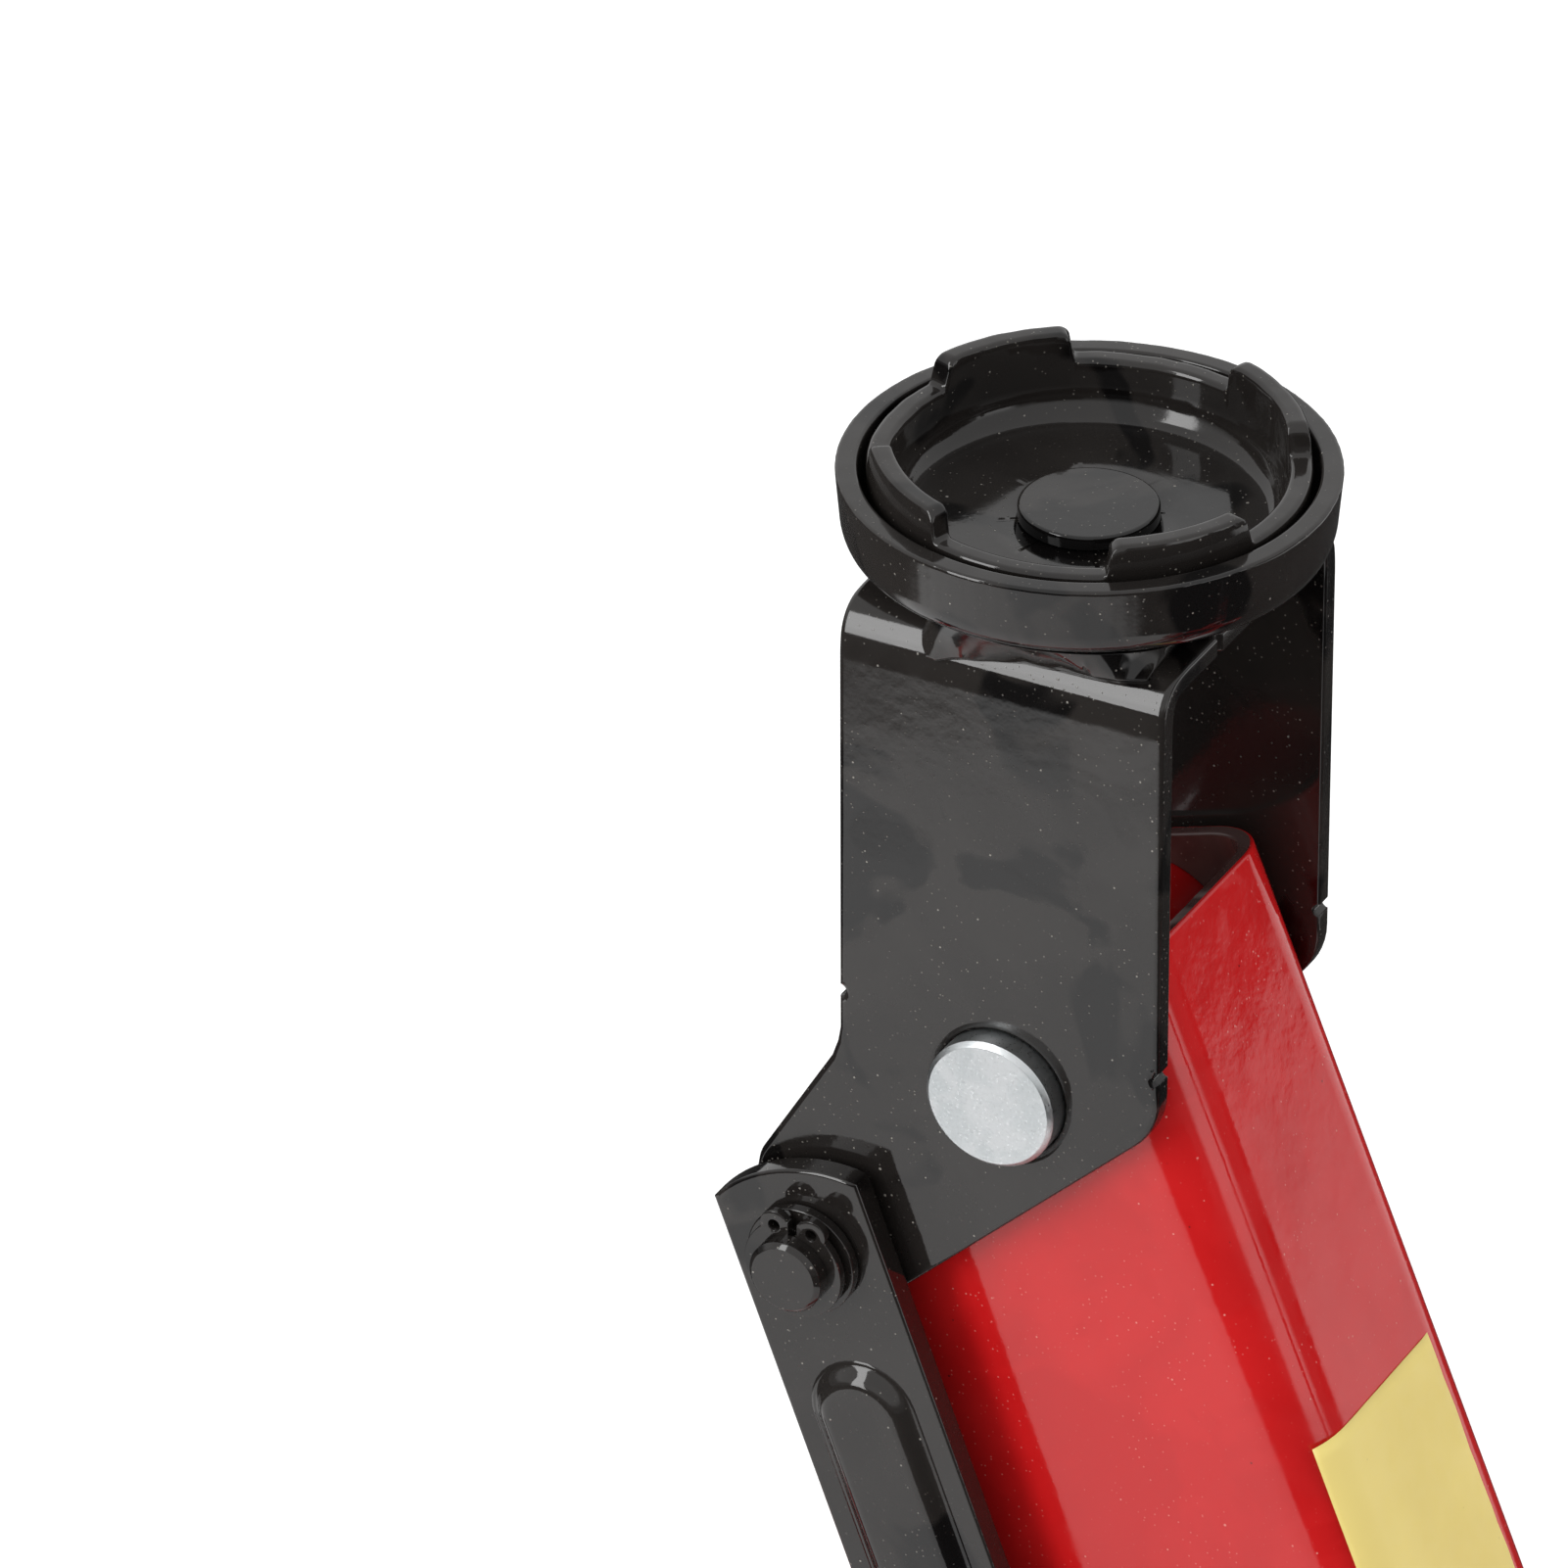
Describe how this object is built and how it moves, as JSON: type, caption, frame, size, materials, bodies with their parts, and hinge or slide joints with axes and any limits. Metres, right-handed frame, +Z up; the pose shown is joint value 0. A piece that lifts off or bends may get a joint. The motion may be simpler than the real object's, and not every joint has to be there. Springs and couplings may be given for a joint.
{
  "type": "trolley jack",
  "caption": "Low wheeled hydraulic trolley jack with a swivelling toothed saddle on a levelled head, a pressed lifting arm, parallel links, rollers, casters and a pump handle.",
  "frame": {"origin": "on the floor, at the middle of the jack's length and width", "axes": "+X to the front (saddle end), +Y to the jack's left, +Z up; drawn fully raised with the handle at 45 degrees"},
  "size_m": [0.723, 0.18, 0.4161],
  "materials": {
    "black_paint": "gloss black paint over pressed and welded steel",
    "zinc": "bright zinc plate with fine scratches",
    "dark_steel": "oiled spring steel",
    "red_paint": "gloss red paint with fine dust",
    "bright_steel": "turned steel",
    "chrome_rod": "hard chrome, ground",
    "iron": "cast iron, painted dark grey",
    "roller_paint": "black paint over cast rollers",
    "black_plastic": "black moulded nylon",
    "rubber": "black rubber",
    "handle_paint": "satin black paint on steel tube"
  },
  "bodies": {
    "chassis": {"side_plate_left": "red_paint", "side_plate_right": "red_paint", "link_rear_pins": "bright_steel", "link_rear_spacers": "bright_steel", "link_rear_clips": "dark_steel", "pivot_shaft": "bright_steel", "pivot_spacers": "bright_steel", "pivot_nuts": "zinc", "front_axle": "bright_steel", "front_spacer_tube": "red_paint", "front_washers": "zinc", "front_clips": "dark_steel", "caster_races": "zinc", "caster_nuts": "zinc", "caster_king_bolts": "zinc", "pump_block": "iron", "block_bolts": "zinc", "cylinder_tube": "bright_steel", "reservoir_tube": "red_paint", "gland_nut": "bright_steel", "filler_plug": "black_plastic", "safety_valve": "zinc", "socket_bolt": "zinc"},
    "arm": {"lift_arm": "red_paint", "arm_front_boss": "red_paint", "arm_rear_boss": "red_paint", "crank_pin": "bright_steel"},
    "head": {"head_bracket": "black_paint", "saddle_dish": "black_paint", "dish_weld": "black_paint", "saddle_rivet": "black_paint", "head_pin": "zinc", "head_pin_clip": "dark_steel", "link_front_shaft": "black_paint", "link_front_washers": "black_paint", "link_front_clips": "black_paint"},
    "saddle": {"saddle_cup": "black_paint"},
    "left_link": {"link_left": "black_paint"},
    "right_link": {"link_right": "black_paint"},
    "ram": {"piston_rod": "chrome_rod", "piston_seal": "rubber", "rod_yoke": "iron"},
    "left_roller": {"front_roller_left": "roller_paint"},
    "right_roller": {"front_roller_right": "roller_paint"},
    "left_fork": {"caster_fork_left": "zinc", "caster_axle_left": "bright_steel"},
    "right_fork": {"caster_fork_right": "zinc", "caster_axle_right": "bright_steel"},
    "left_wheel": {"caster_wheel_left": "black_plastic"},
    "right_wheel": {"caster_wheel_right": "black_plastic"},
    "plunger": {"pump_plunger": "chrome_rod", "pump_spring": "dark_steel"},
    "valve": {"release_valve": "zinc"},
    "handle": {"handle_socket": "red_paint", "press_roller": "bright_steel", "lock_screw": "zinc", "handle_lower": "handle_paint", "handle_upper": "handle_paint", "handle_grip": "rubber"}
  },
  "joints": [
    {"name": "arm_lift", "type": "hinge", "parent": "chassis", "child": "arm", "pos_m": [0.10155, 0, 0.075], "axis": [0, 1, 0], "range_deg": [0, 78]},
    {"name": "head_level", "type": "hinge", "parent": "arm", "child": "head", "pos_m": [0.16648, 0, 0.24502], "axis": [0, 1, 0], "range_deg": [-78, 0]},
    {"name": "left_link_swing", "type": "hinge", "parent": "chassis", "child": "left_link", "pos_m": [0.12595, 0.026, 0.0465], "axis": [0, 1, 0], "range_deg": [0, 78]},
    {"name": "right_link_swing", "type": "hinge", "parent": "chassis", "child": "right_link", "pos_m": [0.12595, -0.026, 0.0465], "axis": [0, 1, 0], "range_deg": [0, 78]},
    {"name": "ram_slide", "type": "slide", "parent": "chassis", "child": "ram", "axis": [1, 0, 0], "range_m": [-0.04623, 0]},
    {"name": "saddle_swivel", "type": "hinge", "parent": "head", "child": "saddle", "pos_m": [0.16648, 0, 0.30902], "axis": [0, 0, 1], "continuous": true},
    {"name": "left_roller_spin", "type": "hinge", "parent": "chassis", "child": "left_roller", "pos_m": [0.33455, 0.054, 0.027], "axis": [0, 1, 0], "continuous": true},
    {"name": "right_roller_spin", "type": "hinge", "parent": "chassis", "child": "right_roller", "pos_m": [0.33455, -0.054, 0.027], "axis": [0, 1, 0], "continuous": true},
    {"name": "left_caster_swivel", "type": "hinge", "parent": "chassis", "child": "left_fork", "pos_m": [-0.04845, 0.072, 0.05], "axis": [0, 0, 1], "continuous": true},
    {"name": "right_caster_swivel", "type": "hinge", "parent": "chassis", "child": "right_fork", "pos_m": [-0.04845, -0.072, 0.05], "axis": [0, 0, 1], "continuous": true},
    {"name": "left_caster_spin", "type": "hinge", "parent": "left_fork", "child": "left_wheel", "pos_m": [-0.05845, 0.072, 0.018], "axis": [0, 1, 0], "continuous": true},
    {"name": "right_caster_spin", "type": "hinge", "parent": "right_fork", "child": "right_wheel", "pos_m": [-0.05845, -0.072, 0.018], "axis": [0, 1, 0], "continuous": true},
    {"name": "handle_pump", "type": "hinge", "parent": "chassis", "child": "handle", "pos_m": [-0.03345, 0, 0.088], "axis": [0, -1, 0], "range_deg": [-20, 25]},
    {"name": "plunger_slide", "type": "slide", "parent": "chassis", "child": "plunger", "axis": [0, 0, 1], "range_m": [-0.0092, 0.0074], "deforming": ["pump_spring"]},
    {"name": "release_valve_turn", "type": "hinge", "parent": "chassis", "child": "valve", "pos_m": [-0.07045, 0.018, 0.036], "axis": [-1, 0, 0], "range_deg": [0, 120]}
  ],
  "couplings": [
    {"joint": "head_level", "follows": "arm_lift", "ratio": -1},
    {"joint": "left_link_swing", "follows": "arm_lift", "ratio": 1},
    {"joint": "right_link_swing", "follows": "arm_lift", "ratio": 1},
    {"joint": "ram_slide", "follows": "arm_lift", "m_per_rad": -0.033883},
    {"joint": "plunger_slide", "follows": "handle_pump", "m_per_rad": -0.021}
  ]
}
